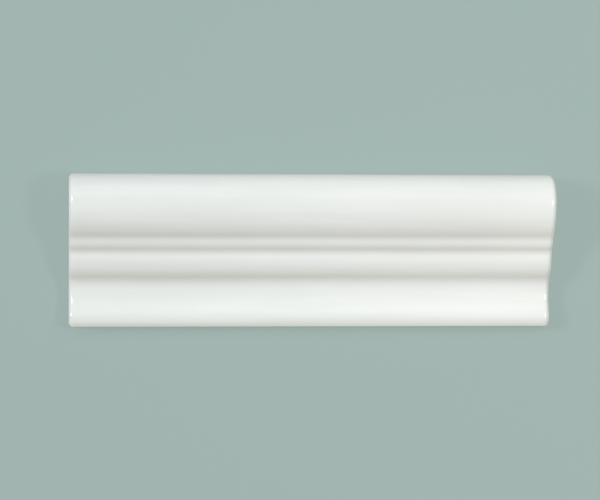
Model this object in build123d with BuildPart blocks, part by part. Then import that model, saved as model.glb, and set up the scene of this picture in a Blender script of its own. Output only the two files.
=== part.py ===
"""Ceramic moulding tile: one pressed and glazed length of wall moulding, lying on its back.

The moulded face looks up. From the top edge of the tile down it is a nose and a thumb-shaped roll, a
small bead between two quirks, an ogee with its hollow, a shallow toe, and a lip that turns down to the
bottom edge. These members are arcs, and each runs into the next without a break. The back is relieved
behind the roll, where the body is thickest, and keyed with grooves for the adhesive.
X runs along the moulding, +Y points to the top edge and Z stands off the wall. Millimetres and degrees.
"""

import math
import os

from build123d import *

# Overall sizes
length = 200.0
projection = 25.0  # back to the crest of the roll

# Members of the face from the top edge down, each with its width across the tile. A fall is how
# steeply the face drops, below the level, where one member runs into the next.
nose_width = 11.3  # top edge to the crest of the roll
roll_width = 14.2
roll_fall = 43.5
upper_quirk_width = 2.7
bead_top_fall = 19.0
bead_width = 2.8
bead_foot_fall = 43.5
lower_quirk_width = 3.0
ogee_top_fall = 6.0
ogee_width = 8.5
ogee_fall = 45.5
hollow_width = 4.2
toe_fall = 11.5
toe_width = 9.3
lip_rise = 18.5
lip_width = 7.0
edge_fall = 36.0

# Edges
end_radius = 2.0  # round on both ends, as pressed and glazed
back_chamfer = 0.8

# Relief behind the roll
relief_edge = 8.5  # top edge of the tile to the mouth of the relief
relief_width = 17.0  # across the mouth
relief_roof = 13.0  # body left under the crest
relief_end = 14.0  # end of the tile to the mouth of the relief
relief_draft = 10.0  # lean of the walls
relief_corner = 3.0  # corners of the mouth and of the roof
relief_round = 2.0  # round between the walls and the roof

# Keying grooves behind the bead, the ogee and the toe
key_count = 3
key_pitch = 10.0
key_width = 5.0
key_depth = 1.2
key_end = 10.0  # end of the tile to the end of a groove

# Members in order, each with its width and the fall at its lower end
level = 0.0
plumb = 90.0
face_members = (
    (nose_width, level),
    (roll_width, roll_fall),
    (upper_quirk_width, bead_top_fall),
    (bead_width, bead_foot_fall),
    (lower_quirk_width, ogee_top_fall),
    (ogee_width, ogee_fall),
    (hollow_width, toe_fall),
    (toe_width, -lip_rise),
    (lip_width, edge_fall),
)

# Places worked out from the sizes
width = sum(member_width for member_width, fall in face_members)
top = width / 2
bottom = -width / 2
relief_depth = projection - relief_roof
relief_lean = relief_depth * math.tan(math.radians(relief_draft))
relief_length = length - 2 * relief_end
relief_centre = top - relief_edge - relief_width / 2
key_length = length - 2 * key_end
key_centre = (bottom + top - relief_edge - relief_width) / 2


def member_arc(pen, member_width, before, after):
    """Carries the outline on from the pen in an arc that turns from one fall to the next within its width."""
    turned = math.sin(math.radians(after)) - math.sin(math.radians(before))
    return JernArc(
        start=pen @ 1,
        tangent=pen % 1,
        radius=member_width / abs(turned),
        arc_size=after - before,
    )


with BuildPart() as moulding_tile:
    # Section of the moulding, swept straight along its length
    with BuildSketch(Plane.YZ):
        with BuildLine():
            Line((bottom, 0), (top, 0))
            pen = Line((top, 0), (top, projection - nose_width))
            fall = -plumb
            for member_width, next_fall in face_members:
                pen = member_arc(pen, member_width, fall, next_fall)
                fall = next_fall
            Line(pen @ 1, (bottom, 0))
        make_face()
    extrude(amount=length / 2, both=True)

    # Both ends are rounded all along the section, apart from their edge on the back
    end_edges = moulding_tile.faces().filter_by(Axis.X).edges().sort_by(Axis.Z)[2:]
    fillet(end_edges, end_radius)
    back_edges = moulding_tile.faces().sort_by(Axis.Z)[0].outer_wire().edges()
    chamfer(back_edges, back_chamfer)

    # Relief behind the roll, with drafted walls so that it leaves the die
    with BuildSketch(Plane.XY):
        with Locations((0, relief_centre)):
            RectangleRounded(relief_length, relief_width, relief_corner)
    with BuildSketch(Plane.XY.offset(relief_depth)):
        with Locations((0, relief_centre)):
            RectangleRounded(
                relief_length - 2 * relief_lean,
                relief_width - 2 * relief_lean,
                relief_corner,
            )
    loft(mode=Mode.SUBTRACT)
    relief_ceiling = moulding_tile.faces().filter_by(Axis.Z).sort_by(Axis.Z)[-1]
    fillet(relief_ceiling.edges(), relief_round)

    # Keying grooves across the rest of the back
    with BuildSketch(Plane.XY):
        with Locations((0, key_centre)):
            with GridLocations(0, key_pitch, 1, key_count):
                SlotOverall(key_length, key_width)
    extrude(amount=key_depth, mode=Mode.SUBTRACT)

moulding_tile.part.label = "moulding_tile"
os.makedirs("parts", exist_ok=True)
export_step(moulding_tile.part, "parts/moulding_tile.step")
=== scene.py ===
"""Ceramic moulding tile: the glazed piece and the stage that it lies on, as panel tools for the 3D view.

X runs along the moulding, +Y points to its top edge and Z stands off the wall. Metres.
"""

import math

import bmesh
import bpy
from bpy.props import FloatProperty, FloatVectorProperty, IntProperty, PointerProperty
from mathutils import Matrix, Vector, noise


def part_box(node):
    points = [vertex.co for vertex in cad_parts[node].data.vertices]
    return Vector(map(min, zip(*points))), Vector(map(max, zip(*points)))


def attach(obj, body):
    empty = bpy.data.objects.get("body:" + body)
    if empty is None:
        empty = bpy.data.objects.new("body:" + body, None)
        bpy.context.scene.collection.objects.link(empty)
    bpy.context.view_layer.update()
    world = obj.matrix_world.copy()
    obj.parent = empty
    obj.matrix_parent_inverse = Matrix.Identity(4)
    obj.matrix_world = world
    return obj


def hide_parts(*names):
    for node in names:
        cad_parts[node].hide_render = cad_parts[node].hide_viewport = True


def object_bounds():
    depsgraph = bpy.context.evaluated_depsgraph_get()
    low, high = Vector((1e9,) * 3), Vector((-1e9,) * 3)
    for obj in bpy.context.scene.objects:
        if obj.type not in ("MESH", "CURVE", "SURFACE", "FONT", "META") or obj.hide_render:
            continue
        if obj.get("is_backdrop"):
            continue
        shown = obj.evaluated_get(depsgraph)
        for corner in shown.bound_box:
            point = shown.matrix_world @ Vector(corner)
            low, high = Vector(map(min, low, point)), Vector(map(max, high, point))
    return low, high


bl_info = {
    "name": "Ceramic moulding tile",
    "version": (1, 0, 0),
    "blender": (4, 5, 0),
    "location": "View3D > Sidebar > Moulding",
    "description": "Models a glazed length of wall moulding and lights it on a plain floor",
    "category": "Object",
}

NODE = "moulding_tile"
PIECE = "glazed_moulding"
MM = 0.001

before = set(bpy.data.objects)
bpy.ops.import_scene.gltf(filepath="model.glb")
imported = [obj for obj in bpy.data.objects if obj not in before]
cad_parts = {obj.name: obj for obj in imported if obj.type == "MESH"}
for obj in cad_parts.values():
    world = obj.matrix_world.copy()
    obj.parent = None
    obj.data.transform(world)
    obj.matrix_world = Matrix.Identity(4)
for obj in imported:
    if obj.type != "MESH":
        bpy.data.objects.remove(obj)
CAD_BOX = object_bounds()
LOW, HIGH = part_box(NODE)

# How closely things have to agree
NEAR = 0.001 * MM
BOX_FIT = 0.1 * MM
SAME_WAY = 1 - 1e-6  # of two directions, as the cosine between them

# How finely the piece is meshed
FACE_STEP = 0.6 * MM  # along the arcs of the section
STATION_GAP = 4 * MM  # along the tile
END_SEGMENTS = 8
FINE_SEGMENTS = 3
CORNER_SEGMENTS = 5
MOUTH_SEGMENTS = 2
HOLD = 0.3 * MM  # strip beside a round, so that the flat next to it is shaded flat
ARRIS_CLEAR = 0.7  # part of the end radius that is kept free of corners beside the arris
SLOT_END = 0.49  # corner of a groove as a part of its width, just short of a half round
SHARP = math.radians(40)  # bends from here on are shaded as edges
CREASE = math.radians(30)  # bends from here on are rounded as an arris

# Waves in the glaze
WAVE_LENGTH = 70 * MM
WAVE_WIDTH = 9 * MM
WAVE_CALM = 6 * MM  # from the edge of the face to full waves
WAVE_TILT = 0.2  # least upward part of the normal where there are waves

# Fall of a slope from which on a band low on it gets pooled glaze and painted shade: a darker, warmer glaze
# colour where the shade is deepest
POOL_AND_SHADE_FALL = math.radians(30)

# Grains of the finishes, each with the number of grains to the metre along X, Y and Z
GRAIN_ROUGHNESS = 0.55
STREAKS = {"per_metre": (18, 300, 300), "detail": 3}
CLOUDS = {"per_metre": (20, 40, 40), "detail": 2}
RUNS = {"per_metre": (90, 90, 18), "detail": 3}
PEEL = {"per_metre": (252, 420, 420), "detail": 2}
STAINS = {"per_metre": (60, 60, 60), "detail": 4}
SAND = {"per_metre": (1800, 1800, 1800), "detail": 2}

# Levels of a grain between which it takes effect, and how much it then does
TONE_LEVELS = (0.7, 1.3)
SHEEN_LEVELS = (0.3, 0.7)
SHEEN_CHANGE = 0.2
STAIN_LEVELS = (0.35, 0.75)
STAIN_SHARE = 0.35
SAND_LEVELS = (0.58, 0.72)
SAND_SHARE = 0.55

# Surface of the finishes
GLAZE_EDGE = 0.15 * MM  # half the width over which the glaze thins out
EDGE_ROUGHNESS = 0.85  # added to the glaze's where it has thinned out
PEEL_STRENGTH = 0.06
PEEL_HEIGHT = 0.05 * MM
BODY_ROUGHNESS = 0.92
SAND_STRENGTH = 0.5
SAND_HEIGHT = 0.1 * MM

# Place of the bare body among the piece's materials, after the glaze
BARE = 1

# Sockets of a Mix node that mixes colours
MIX_FACTOR = 0
MIX_FIRST = 6
MIX_SECOND = 7
MIX_RESULT = 2


def distance(name, description, default):
    """A length that a user may set, in metres."""
    return FloatProperty(
        name=name, description=description, default=default,
        min=0.0, subtype="DISTANCE", unit="LENGTH", precision=5,
    )


def angle(name, description, degrees):
    """An angle that a user may set, given here in degrees."""
    return FloatProperty(
        name=name, description=description, default=math.radians(degrees),
        subtype="ANGLE", unit="ROTATION",
    )


def colour(name, description, default):
    """A linear colour that a user may set."""
    return FloatVectorProperty(
        name=name, description=description, default=default,
        size=3, min=0.0, max=1.0, subtype="COLOR",
    )


def share(name, description, default):
    """A part of the whole that a user may set, from 0 to 1."""
    return FloatProperty(
        name=name, description=description, default=default,
        min=0.0, max=1.0, subtype="FACTOR",
    )


def watts(name, description, default):
    """The power of a lamp that a user may set."""
    return FloatProperty(
        name=name, description=description, default=default,
        min=0.0, subtype="POWER", unit="POWER",
    )


def point(name, description, default):
    """A place that a user may set, in metres."""
    return FloatVectorProperty(
        name=name, description=description, default=default,
        size=3, subtype="TRANSLATION", unit="LENGTH", precision=5,
    )


class MouldingSizes(bpy.types.PropertyGroup):
    """Sizes of the moulding: its face from the top edge down, then its edges and its back."""

    length: distance("Length", "Length of the moulding", HIGH.x - LOW.x)
    width: distance("Width", "Top edge to bottom edge", HIGH.y - LOW.y)
    projection: distance("Projection", "Back to the crest of the roll", HIGH.z - LOW.z)

    nose_width: distance("Nose", "Top edge to the crest of the roll", 11.3 * MM)
    roll_width: distance("Roll", "Crest of the roll to the upper quirk", 14.2 * MM)
    roll_fall: angle("Roll fall", "Fall of the roll where it enters the upper quirk", 43.5)
    upper_quirk_width: distance("Upper quirk", "Hollow between the roll and the bead", 2.7 * MM)
    bead_top_fall: angle("Bead top fall", "Fall of the bead where it leaves the upper quirk", 19)
    bead_width: distance("Bead", "Small round between the two quirks", 2.8 * MM)
    bead_foot_fall: angle("Bead foot fall", "Fall of the bead where it enters the lower quirk", 43.5)
    lower_quirk_width: distance("Lower quirk", "Hollow between the bead and the ogee", 3.0 * MM)
    ogee_top_fall: angle("Ogee top fall", "Fall of the ogee where it leaves the lower quirk", 6)
    ogee_width: distance("Ogee", "Round of the upper half of the ogee", 8.5 * MM)
    ogee_fall: angle("Ogee fall", "Fall of the ogee at its steepest", 45.5)
    hollow_width: distance("Hollow", "Lower half of the ogee", 4.2 * MM)
    toe_fall: angle("Toe fall", "Fall of the hollow where it eases into the toe", 11.5)
    toe_width: distance("Toe", "Shallow trough between the ogee and the lip", 9.3 * MM)
    lip_rise: angle("Lip rise", "Rise of the toe where it meets the lip", 18.5)
    lip_width: distance("Lip", "Round over the lip to the bottom edge", 7.0 * MM)
    edge_fall: angle("Edge fall", "Fall of the lip where it meets the bottom edge", 36)

    end_radius: distance("End radius", "Round on both ends", 2.0 * MM)
    arris_radius: distance("Arris", "Fine round along the bottom edge", 0.6 * MM)
    back_round: distance("Back round", "Worn edge round the back", 0.8 * MM)
    ripple: distance("Ripple", "Height of the faint waves that the fired glaze sets in", 0.02 * MM)

    relief_edge: distance("Relief from edge", "Top edge to the mouth of the relief", 8.5 * MM)
    relief_width: distance("Relief width", "Mouth of the relief across the tile", 17.0 * MM)
    relief_roof: distance("Relief roof", "Body left between the relief and the crest", 13.0 * MM)
    relief_end: distance("Relief from end", "End of the tile to the mouth of the relief", 14.0 * MM)
    relief_draft: angle("Relief draft", "Lean of the walls of the relief", 10)
    relief_corner: distance("Relief corner", "Corners of the relief", 3.0 * MM)
    relief_round: distance("Relief round", "Round between the walls and the roof of the relief", 2.0 * MM)

    key_count: IntProperty(name="Keys", description="Number of keying grooves", default=3, min=0)
    key_pitch: distance("Key pitch", "From one keying groove to the next", 10.0 * MM)
    key_width: distance("Key width", "Width of a keying groove", 5.0 * MM)
    key_depth: distance("Key depth", "Depth of a keying groove", 1.2 * MM)
    key_end: distance("Key from end", "End of the tile to the end of a groove", 10.0 * MM)
    mouth_round: distance("Mouth round", "Soft edge of the relief and of the grooves", 0.3 * MM)


class GlazeFinish(bpy.types.PropertyGroup):
    """Colours and surface of the glaze and of the bare body."""

    glaze: colour("Glaze", "White glaze on the open faces", (0.862, 0.88, 0.884))
    # The pooled colour and its bands are partly thicker glaze and partly painted shade: darker and warmer,
    # laid on the dark feet of the steep slopes and under the lip
    pooled_and_shaded: colour("Pooled glaze", "Thicker, creamier glaze where it gathers", (0.825, 0.795, 0.74))
    pooling_and_shade: share("Pooling", "How much the pooled colour shows", 0.35)
    pool_and_shade_rise: distance("Pool rise", "Foot of a slope up to where the glaze is thickest", 1.0 * MM)
    pool_and_shade_reach: distance("Pool reach", "Where the glaze is thickest to where it is thin", 3.8 * MM)
    mottle: share("Mottling", "How much the glaze varies in tone", 0.02)
    gloss: share("Glaze roughness", "Roughness of the glaze", 0.1)
    body: colour("Bare body", "Fired clay on the back", (0.74, 0.68, 0.58))
    body_dark: colour("Bare body, dark", "Darker grains of the clay", (0.58, 0.5, 0.4))
    glaze_line: distance("Glaze line", "Where the glaze ends above the back", 1.6 * MM)
    glaze_run: distance("Glaze run", "How far the glaze line wanders", 1.2 * MM)


class StageSettings(bpy.types.PropertyGroup):
    """Floor, lamps and camera."""

    backdrop: colour("Backdrop", "Tone of the floor and of what lies behind it", (0.366, 0.468, 0.445))
    bounce: colour("Bounce", "Floor as it lights the tile", (0.62, 0.62, 0.60))
    shadow: share("Shadow", "How much of the light and shade the floor shows", 0.25)
    floor_reach: distance("Floor reach", "How far the floor runs to each side", 8.0)
    fill: colour("Fill", "Light from all round", (0.099, 0.095, 0.094))
    aim: point("Aim of the lamps", "Where the lamps point", (0, 0, 12 * MM))

    left_lamp: point("Left lamp", "Place of the left-hand lamp", (-2.2, 0.36, 1.9))
    left_size: distance("Left size", "Width of the left-hand lamp", 0.7)
    left_power: watts("Left power", "Power of the left-hand lamp", 41.5)
    left_tint: colour("Left tint", "Tint of the left-hand lamp", (0.96, 1, 0.985))
    right_lamp: point("Right lamp", "Place of the right-hand lamp", (0.36, 0.0, 0.64))
    right_size: distance("Right size", "Width of the right-hand lamp", 0.14)
    right_power: watts("Right power", "Power of the right-hand lamp", 2.04)
    right_tint: colour("Right tint", "Tint of the right-hand lamp", (1, 0.955, 0.82))
    panel: point("Panel", "Place of the long soft panel above the top edge", (0, 0.45, 0.9))
    panel_power: watts("Panel power", "Power of the panel", 4.65)
    panel_tint: colour("Panel tint", "Tint of the panel", (0.9, 0.95, 1))
    panel_length: distance("Panel length", "Length of the panel, along the tile", 2.0)
    panel_height: distance("Panel height", "Height of the panel", 0.34)

    camera: point("Camera", "Place of the camera", (-0.1017, -0.007, 1.0))
    view_centre: point("View centre", "Middle of the picture", (-0.0051, 0.0002, 0.012))
    lens: FloatProperty(
        name="Lens", description="Focal length of the camera", default=144.5, subtype="DISTANCE_CAMERA"
    )


def run(bm, pen, step):
    """Draws a straight edge from the pen and returns its far end."""
    end = bmesh.ops.extrude_vert_indiv(bm, verts=[pen])["verts"][0]
    bmesh.ops.translate(bm, verts=[end], vec=step)
    return end


def turn(bm, pen, heading, radius, sweep):
    """Draws an arc that leaves the pen along its heading, and returns the far end."""
    side = math.copysign(radius, sweep)
    centre = pen.co + Vector((0, -math.sin(heading), math.cos(heading))) * side
    steps = round(abs(sweep) * radius / FACE_STEP)
    spun = bmesh.ops.spin(bm, geom=[pen], cent=centre, axis=(1, 0, 0), angle=sweep, steps=steps)
    return spun["geom_last"][0]


def soften(bm, edges, offset, segments):
    """Rounds edges over by an offset on either side."""
    bmesh.ops.bevel(
        bm, geom=edges, offset=offset, offset_type="OFFSET", affect="EDGES", segments=segments,
        profile=0.5, material=-1, clamp_overlap=False, loop_slide=True,
    )


def cut(bm, faces, place, normal):
    """Cuts faces along a plane."""
    geom = {part for f in faces for part in (f, *f.edges, *f.verts)}
    bmesh.ops.bisect_plane(bm, geom=list(geom), plane_co=place, plane_no=normal, dist=NEAR)


def members(s):
    """Members of the face from the top edge down: the width of each, and its fall where it ends."""
    return (
        (s.nose_width, 0.0),
        (s.roll_width, s.roll_fall),
        (s.upper_quirk_width, s.bead_top_fall),
        (s.bead_width, s.bead_foot_fall),
        (s.lower_quirk_width, s.ogee_top_fall),
        (s.ogee_width, s.ogee_fall),
        (s.hollow_width, s.toe_fall),
        (s.toe_width, -s.lip_rise),
        (s.lip_width, s.edge_fall),
    )


def sweep_section(bm, s):
    """Draws the section at the left-hand end, fills it and draws it out to the length of the tile."""
    first = bm.verts.new((-s.length / 2, s.width / 2, 0))
    pen = run(bm, first, (0, 0, s.projection - s.nose_width))
    fall = -math.pi / 2
    for across, next_fall in members(s):
        radius = across / abs(math.sin(next_fall) - math.sin(fall))
        pen = turn(bm, pen, math.pi + fall, radius, next_fall - fall)
        fall = next_fall
    arris = pen.co.copy()
    pen = run(bm, pen, (0, 0, -pen.co.z))
    bm.edges.new((pen, first))
    bmesh.ops.edgeloop_fill(bm, edges=bm.edges[:])
    # The end round needs a clear step of the lip on its way round the arris
    crowded = [v for v in bm.verts if 0 < (v.co - arris).length < s.end_radius * ARRIS_CLEAR]
    bmesh.ops.dissolve_verts(bm, verts=crowded)
    swept = bmesh.ops.extrude_face_region(bm, geom=bm.faces[:])["geom"]
    far = [v for v in swept if isinstance(v, bmesh.types.BMVert)]
    bmesh.ops.translate(bm, verts=far, vec=(s.length, 0, 0))
    bmesh.ops.recalc_face_normals(bm, faces=bm.faces[:])


def flat_faces(bm, direction):
    """Faces that look straight along a direction."""
    return [f for f in bm.faces if f.normal.dot(direction) > SAME_WAY]


def end_faces(bm):
    """Faces of the two ends."""
    return flat_faces(bm, Vector((-1, 0, 0))) + flat_faces(bm, Vector((1, 0, 0)))


def round_edges(bm, s):
    """Rounds both ends all along the section, then the bottom arris and the rim of the back."""
    off_back = [e for f in end_faces(bm) for e in f.edges if max(v.co.z for v in e.verts) > NEAR]
    soften(bm, off_back, s.end_radius, END_SEGMENTS)
    creases = [
        e for e in bm.edges
        if min(v.co.z for v in e.verts) > NEAR and e.calc_face_angle(0) > CREASE
    ]
    setback = s.arris_radius * math.tan((math.pi / 2 - s.edge_fall) / 2)
    soften(bm, creases, setback, FINE_SEGMENTS)
    back = flat_faces(bm, Vector((0, 0, -1)))
    soften(bm, list({e for f in back for e in f.edges}), s.back_round, FINE_SEGMENTS)
    bmesh.ops.inset_region(bm, faces=end_faces(bm), thickness=HOLD, use_even_offset=True)
    cut(bm, bm.faces[:], (0, 0, s.back_round + HOLD), (0, 0, 1))


def back_face(bm, place):
    """The face of the back, or of a hollow in it, that lies over a place."""
    down = flat_faces(bm, Vector((0, 0, -1)))
    return next(f for f in down if bmesh.geometry.intersect_face_point(f, place))


def sink(bm, centre, size, depth, lean, corner):
    """Sinks a hollow with rounded corners and leaning walls into the back, and returns its mouth's edges."""
    face = back_face(bm, centre)
    for axis, extent in ((Vector((0, 1, 0)), size[1]), (Vector((1, 0, 0)), size[0])):
        for side in (-1, 1):
            cut(bm, [face], centre + axis * side * extent / 2, axis)
            face = back_face(bm, centre)
    sunk = bmesh.ops.extrude_face_region(bm, geom=[face])["geom"]
    floor = [v for v in sunk if isinstance(v, bmesh.types.BMVert)]
    bmesh.ops.delete(bm, geom=[face], context="FACES_ONLY")
    bmesh.ops.translate(bm, verts=floor, vec=(0, 0, depth))
    narrowed = (1 - 2 * lean / size[0], 1 - 2 * lean / size[1], 1)
    bmesh.ops.scale(bm, verts=floor, vec=narrowed, space=Matrix.Translation(-centre))
    rim = set(back_face(bm, centre).edges)
    walls = [e for v in floor for e in v.link_edges if e not in rim]
    soften(bm, walls, corner, CORNER_SEGMENTS)
    reach = Vector((size[0] / 2 + NEAR, size[1] / 2 + NEAR, NEAR))
    in_mouth = [e for e in bm.edges if all(abs(c) < r for v in e.verts for c, r in zip(v.co - centre, reach))]
    return [e for e in in_mouth if e.calc_face_angle(0) > SHARP]


def model_back(bm, s):
    """Sinks the relief behind the roll and the keying grooves below it, and softens their mouths."""
    depth = s.projection - s.relief_roof
    lean = depth * math.tan(s.relief_draft)
    centre = Vector((0, s.width / 2 - s.relief_edge - s.relief_width / 2, 0))
    mouths = sink(bm, centre, (s.length - 2 * s.relief_end, s.relief_width), depth, lean, s.relief_corner)
    roof = back_face(bm, centre)
    soften(bm, roof.edges[:], s.relief_round, CORNER_SEGMENTS)

    middle = -(s.relief_edge + s.relief_width) / 2
    key_size = (s.length - 2 * s.key_end, s.key_width)
    for number in range(s.key_count):
        offset = (number - (s.key_count - 1) / 2) * s.key_pitch
        mouths += sink(bm, Vector((0, middle + offset, 0)), key_size, s.key_depth, 0, s.key_width * SLOT_END)

    soften(bm, [e for e in mouths if e.is_valid], s.mouth_round, MOUTH_SEGMENTS)
    flat = [f for f in flat_faces(bm, Vector((0, 0, -1))) if f.calc_center_median().z < NEAR]
    bmesh.ops.inset_region(bm, faces=flat, thickness=HOLD, use_even_offset=True)


def cut_stations(bm, s):
    """Cuts the length into even stations, with one close to each end round."""
    half = s.length / 2 - s.end_radius
    count = round(2 * half / STATION_GAP)
    stations = [half * (2 * i / count - 1) for i in range(1, count)]
    for x in (HOLD - half, *stations, half - HOLD):
        cut(bm, bm.faces[:], (x, 0, 0), (1, 0, 0))


def ripple_glaze(bm, s):
    """Sets faint long waves in the glaze of the moulded face, and none at the ends and edges."""
    for v in bm.verts:
        inside = min(s.length / 2 - s.end_radius - abs(v.co.x), s.width / 2 - abs(v.co.y))
        if v.normal.z > WAVE_TILT and inside > 0:
            calm = min(1.0, inside / WAVE_CALM)
            wave = noise.noise((v.co.x / WAVE_LENGTH, v.co.y / WAVE_WIDTH, 0))
            v.co += v.normal * (min(wave, 0.0) * calm * s.ripple)


def bare_faces(bm, s):
    """Faces that the glaze doesn't reach: the flat of the back and the hollows in it."""
    roof = s.projection - s.relief_roof + NEAR
    middle = s.width / 2 - s.relief_edge - s.relief_width / 2
    for f in bm.faces:
        place = f.calc_center_median()
        in_relief = abs(place.y - middle) < s.relief_width / 2 and abs(place.x) < s.length / 2 - s.relief_end
        in_back = abs(place.y) < s.width / 2 - s.back_round and abs(place.x) < s.length / 2 - s.back_round
        if in_back and place.z < (roof if in_relief else s.key_depth + NEAR):
            yield f


def add(tree, kind, inputs=(), **settings):
    """Adds a shader node with its settings, and sets or links its inputs."""
    node = tree.nodes.new(kind)
    for name, value in settings.items():
        setattr(node, name, value)
    for socket, value in dict(inputs).items():
        if isinstance(value, bpy.types.NodeSocket):
            tree.links.new(value, node.inputs[socket])
        else:
            node.inputs[socket].default_value = value
    return node


def maths(tree, operation, first, second=0.0):
    """The result of one sum on two values."""
    return add(tree, "ShaderNodeMath", {0: first, 1: second}, operation=operation).outputs[0]


def eased(tree, value, start, end, at_start, at_end):
    """A value that eases from one level to another between two limits."""
    levels = {"Value": value, "From Min": start, "From Max": end, "To Min": at_start, "To Max": at_end}
    return add(tree, "ShaderNodeMapRange", levels, interpolation_type="SMOOTHSTEP").outputs["Result"]


def mixed(tree, factor, first, second):
    """Two colours, mixed."""
    inputs = {MIX_FACTOR: factor, MIX_FIRST: first, MIX_SECOND: second}
    return add(tree, "ShaderNodeMix", inputs, data_type="RGBA", clamp_factor=True).outputs[MIX_RESULT]


def grain(tree, place, per_metre, detail):
    """Noise over the piece, with so many grains to the metre along each axis."""
    counted = add(tree, "ShaderNodeMapping", {"Vector": place, "Scale": per_metre}).outputs[0]
    inputs = {"Vector": counted, "Scale": 1.0, "Detail": detail, "Roughness": GRAIN_ROUGHNESS}
    return add(tree, "ShaderNodeTexNoise", inputs).outputs["Fac"]


def fresh_material(name):
    """A new material, its node tree and its shader."""
    material = bpy.data.materials.new(name)
    material.use_nodes = True
    return material, material.node_tree, material.node_tree.nodes["Principled BSDF"]


def pools_and_shade(s, finish):
    """Places across the tile for pooled glaze and painted shade: low on each steep slope, where it is
    darkest, and along the bottom edge.
    """
    y = s.width / 2
    for (across, fall), (_, next_fall) in zip(members(s), members(s)[1:]):
        y -= across
        if fall > POOL_AND_SHADE_FALL and next_fall < fall:
            yield y + finish.pool_and_shade_rise
    yield -s.width / 2


def white_glaze(s, finish):
    """White glaze, creamier and darker where it gathers and in painted shade low on the steep slopes and
    under the lip, faintly streaked, and ragged where it ends near the back.
    """
    material, tree, shader = fresh_material("white_glaze")
    place = add(tree, "ShaderNodeTexCoord").outputs["Object"]
    parts = add(tree, "ShaderNodeSeparateXYZ", {0: place})

    # Painted shade, partly pooled glaze: a darker, warmer colour in bands low on the steep slopes and along
    # the bottom edge, faded out over the end rounds
    pooled_and_shaded = 0.0
    for middle in pools_and_shade(s, finish):
        away = maths(tree, "ABSOLUTE", maths(tree, "SUBTRACT", parts.outputs["Y"], middle))
        nearby = eased(tree, away, 0.0, finish.pool_and_shade_reach, finish.pooling_and_shade, 0.0)
        pooled_and_shaded = maths(tree, "MAXIMUM", pooled_and_shaded, nearby)
    end = s.length / 2
    off_ends = eased(tree, maths(tree, "ABSOLUTE", parts.outputs["X"]), end - s.end_radius, end, 1.0, 0.0)
    pooled_and_shaded = maths(tree, "MULTIPLY", pooled_and_shaded, off_ends)
    tone = mixed(tree, pooled_and_shaded, (*finish.glaze, 1), (*finish.pooled_and_shaded, 1))

    streaks = grain(tree, place, **STREAKS)
    clouds = grain(tree, place, **CLOUDS)
    both = maths(tree, "ADD", streaks, clouds)
    varied = eased(tree, both, *TONE_LEVELS, 1 - finish.mottle, 1 + finish.mottle)
    tone = add(tree, "ShaderNodeVectorMath", {0: tone, 1: varied}, operation="MULTIPLY").outputs[0]

    wander = maths(tree, "MULTIPLY", grain(tree, place, **RUNS), finish.glaze_run)
    height = maths(tree, "ADD", parts.outputs["Z"], wander)
    line = finish.glaze_line + finish.glaze_run / 2
    glazed = eased(tree, height, line - GLAZE_EDGE, line + GLAZE_EDGE, 0.0, 1.0)
    tone = mixed(tree, glazed, (*finish.body, 1), tone)
    tree.links.new(tone, shader.inputs["Base Color"])

    smoothest, roughest = finish.gloss * (1 - SHEEN_CHANGE), finish.gloss * (1 + SHEEN_CHANGE)
    sheen = eased(tree, clouds, *SHEEN_LEVELS, smoothest, roughest)
    rough = eased(tree, glazed, 0.0, 1.0, EDGE_ROUGHNESS, 0.0)
    tree.links.new(maths(tree, "ADD", rough, sheen), shader.inputs["Roughness"])

    peel = grain(tree, place, **PEEL)
    bump = add(tree, "ShaderNodeBump", {"Height": peel, "Strength": PEEL_STRENGTH, "Distance": PEEL_HEIGHT})
    tree.links.new(bump.outputs[0], shader.inputs["Normal"])
    return material


def bare_body(finish):
    """Fired clay of the back: cream, matt and sandy."""
    material, tree, shader = fresh_material("bare_body")
    place = add(tree, "ShaderNodeTexCoord").outputs["Object"]
    stained = eased(tree, grain(tree, place, **STAINS), *STAIN_LEVELS, 0.0, STAIN_SHARE)
    sand = grain(tree, place, **SAND)
    darker = maths(tree, "ADD", stained, eased(tree, sand, *SAND_LEVELS, 0.0, SAND_SHARE))
    tone = mixed(tree, darker, (*finish.body, 1), (*finish.body_dark, 1))
    tree.links.new(tone, shader.inputs["Base Color"])
    shader.inputs["Roughness"].default_value = BODY_ROUGHNESS
    bump = add(tree, "ShaderNodeBump", {"Height": sand, "Strength": SAND_STRENGTH, "Distance": SAND_HEIGHT})
    tree.links.new(bump.outputs[0], shader.inputs["Normal"])
    return material


class MOULDING_OT_tile(bpy.types.Operator):
    """Models the glazed tile in place of its solid"""

    bl_idname = "moulding.tile"
    bl_label = "Glazed tile"

    def execute(self, context):
        s = context.scene.moulding_sizes
        finish = context.scene.moulding_finish

        bm = bmesh.new()
        sweep_section(bm, s)
        round_edges(bm, s)
        model_back(bm, s)
        cut_stations(bm, s)
        bmesh.ops.remove_doubles(bm, verts=bm.verts[:], dist=NEAR)
        bmesh.ops.recalc_face_normals(bm, faces=bm.faces[:])
        bm.normal_update()
        for face in bare_faces(bm, s):
            face.material_index = BARE
        ripple_glaze(bm, s)

        mesh = bpy.data.meshes.new(PIECE)
        bm.to_mesh(mesh)
        bm.free()
        mesh.shade_smooth()
        mesh.set_sharp_from_angle(angle=SHARP)
        mesh.materials.append(white_glaze(s, finish))
        mesh.materials.append(bare_body(finish))

        piece = bpy.data.objects.new(PIECE, mesh)
        context.scene.collection.objects.link(piece)
        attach(piece, "root")
        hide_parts(NODE)
        if any((a - b).length > BOX_FIT for a, b in zip(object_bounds(), CAD_BOX)):
            raise RuntimeError("The members don't add up to the size of the solid")
        return {"FINISHED"}


def facing(place, aim):
    """The turn that points a lamp or a camera at its aim, with the tile's top edge up in the picture."""
    back = (Vector(place) - Vector(aim)).normalized()
    right = Vector((0, 1, 0)).cross(back).normalized()
    return Matrix((right, back.cross(right), back)).transposed().to_quaternion()


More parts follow.
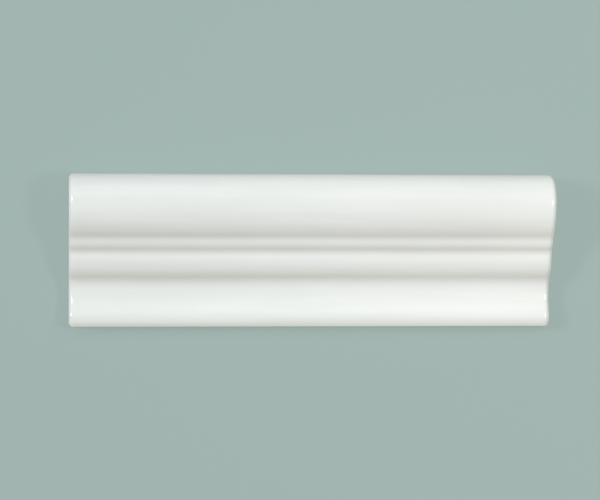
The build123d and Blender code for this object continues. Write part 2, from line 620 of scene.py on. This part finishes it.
def put(context, name, data, place, aim):
    """Puts a lamp or a camera in its place, turned to its aim."""
    thing = bpy.data.objects.new(name, data)
    thing.location = place
    thing.rotation_mode = "QUATERNION"
    thing.rotation_quaternion = facing(place, aim)
    context.scene.collection.objects.link(thing)
    return thing


def soft_lamp(context, name, place, aim, power, tint, shape, *size):
    """Hangs a soft lamp."""
    data = bpy.data.lights.new(name, "AREA")
    data.shape = shape
    data.size = size[0]
    data.size_y = size[-1]
    data.energy = power
    data.color = tint
    return put(context, name, data, place, aim)


def seen_directly(tree):
    """1 for rays that show the stage itself, to the camera, in gloss or through glass, and 0 for light."""
    ray = add(tree, "ShaderNodeLightPath").outputs
    shown = maths(tree, "MAXIMUM", ray["Is Camera Ray"], ray["Is Glossy Ray"])
    return maths(tree, "MAXIMUM", shown, ray["Is Transmission Ray"])


def floor_material(stage):
    """Floor that shows the backdrop's tone with a light shadow, and throws neutral light back at the tile."""
    material, tree, shader = fresh_material("floor")
    seen = seen_directly(tree)
    tree.links.new(mixed(tree, seen, (*stage.bounce, 1), (*stage.backdrop, 1)), shader.inputs["Base Color"])
    shader.inputs["Roughness"].default_value = 1.0
    shader.inputs["Specular IOR Level"].default_value = 0.0
    tone = add(tree, "ShaderNodeEmission", {"Color": (*stage.backdrop, 1)})
    flat = maths(tree, "MULTIPLY", seen, 1 - stage.shadow)
    both = add(tree, "ShaderNodeMixShader", {0: flat, 1: shader.outputs[0], 2: tone.outputs[0]})
    tree.links.new(both.outputs[0], tree.nodes["Material Output"].inputs["Surface"])
    return material


def studio_world(stage):
    """Even light from all round, with the backdrop's tone where it shows."""
    world = bpy.data.worlds.new("studio")
    world.use_nodes = True
    tree = world.node_tree
    tone = mixed(tree, seen_directly(tree), (*stage.fill, 1), (*stage.backdrop, 1))
    tree.links.new(tone, tree.nodes["Background"].inputs["Color"])
    return world


def lay_floor(context, stage):
    """Lays the floor that the tile lies on."""
    bm = bmesh.new()
    bmesh.ops.create_grid(bm, x_segments=1, y_segments=1, size=stage.floor_reach)
    mesh = bpy.data.meshes.new("floor")
    bm.to_mesh(mesh)
    bm.free()
    mesh.materials.append(floor_material(stage))
    floor = bpy.data.objects.new("floor", mesh)
    context.scene.collection.objects.link(floor)
    floor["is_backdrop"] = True


def hang_lamps(context, stage):
    """Hangs the two side lamps and the long panel, which is kept out of the gloss."""
    for name in ("left", "right"):
        place, size, power, tint = (
            getattr(stage, f"{name}_{what}") for what in ("lamp", "size", "power", "tint")
        )
        soft_lamp(context, f"{name}_lamp", place, stage.aim, power, tint, "DISK", size)
    panel = soft_lamp(
        context, "panel", stage.panel, stage.aim, stage.panel_power, stage.panel_tint,
        "RECTANGLE", stage.panel_length, stage.panel_height,
    )
    panel.visible_glossy = False


class MOULDING_OT_stage(bpy.types.Operator):
    """Lays the floor and sets the lamps and the camera"""

    bl_idname = "moulding.stage"
    bl_label = "Floor, lamps and camera"

    def execute(self, context):
        scene = context.scene
        stage = scene.moulding_stage
        scene.view_settings.view_transform = "Standard"
        scene.world = studio_world(stage)
        lay_floor(context, stage)
        hang_lamps(context, stage)
        data = bpy.data.cameras.new("camera")
        data.lens = stage.lens
        scene.camera = put(context, "camera", data, stage.camera, stage.view_centre)
        return {"FINISHED"}


class MOULDING_PT_panel(bpy.types.Panel):
    """Lists the tools and their settings"""

    bl_idname = "MOULDING_PT_panel"
    bl_label = "Moulding tile"
    bl_space_type = "VIEW_3D"
    bl_region_type = "UI"
    bl_category = "Moulding"

    def draw(self, context):
        tools = {
            "moulding.tile": ("moulding_sizes", "moulding_finish"),
            "moulding.stage": ("moulding_stage",),
        }
        for tool, groups in tools.items():
            box = self.layout.box()
            box.operator(tool)
            for group in groups:
                settings = getattr(context.scene, group)
                for name in settings.__annotations__:
                    box.prop(settings, name)


GROUPS = {"moulding_sizes": MouldingSizes, "moulding_finish": GlazeFinish, "moulding_stage": StageSettings}
CLASSES = (*GROUPS.values(), MOULDING_OT_tile, MOULDING_OT_stage, MOULDING_PT_panel)


def register():
    """Adds the tools and their settings to Blender."""
    for cls in CLASSES:
        bpy.utils.register_class(cls)
    for name, group in GROUPS.items():
        setattr(bpy.types.Scene, name, PointerProperty(type=group))


def unregister():
    """Takes the tools and their settings out of Blender."""
    for name in GROUPS:
        delattr(bpy.types.Scene, name)
    for cls in reversed(CLASSES):
        bpy.utils.unregister_class(cls)


def main():
    """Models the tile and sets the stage."""
    register()
    bpy.ops.moulding.tile()
    bpy.ops.moulding.stage()


if __name__ == "__main__":
    main()
